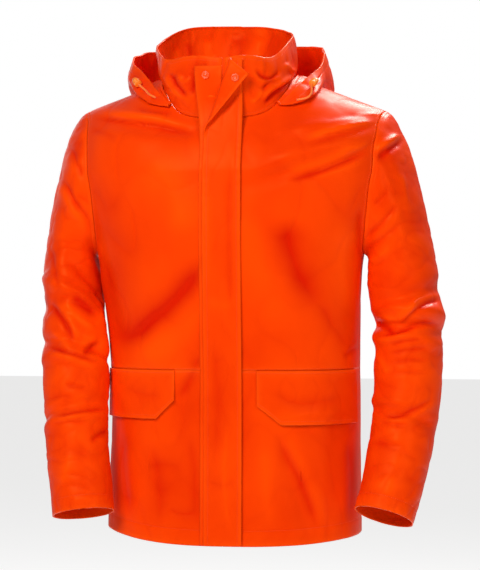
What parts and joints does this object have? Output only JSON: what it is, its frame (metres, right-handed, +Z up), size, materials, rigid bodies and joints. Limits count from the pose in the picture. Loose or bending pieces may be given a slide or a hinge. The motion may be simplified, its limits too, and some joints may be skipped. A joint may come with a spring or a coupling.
{
  "type": "raincoat",
  "caption": "Hip-length hooded raincoat with a stand collar, storm flap, waist seams and pocket flaps, filled out as if worn, hood thrown back.",
  "frame": {"origin": "centre of the neck, level with the tops of the shoulders", "axes": "+Z up, the coat's front faces -Y, +X is the wearer's left"},
  "size_m": [0.6632, 0.3705, 0.8537],
  "materials": {
    "shell": "coated waterproof cloth, soft sheen",
    "cord": "braided cord",
    "plastic": "moulded plastic"
  },
  "bodies": {
    "root": {"front_right_upper": "shell", "front_right_lower": "shell", "front_left_upper": "shell", "front_left_lower": "shell", "back": "shell", "sleeve_right": "shell", "sleeve_left": "shell", "collar": "shell", "hood_right": "shell", "hood_left": "shell", "storm_flap": "shell", "snap_strip": "shell", "pocket_flap_right": "shell", "pocket_flap_left": "shell", "draw_cord_right": "cord", "cord_lock_right": "plastic", "draw_cord_left": "cord", "cord_lock_left": "plastic", "snap_stud": "plastic", "snap_socket": "plastic"}
  },
  "joints": []
}
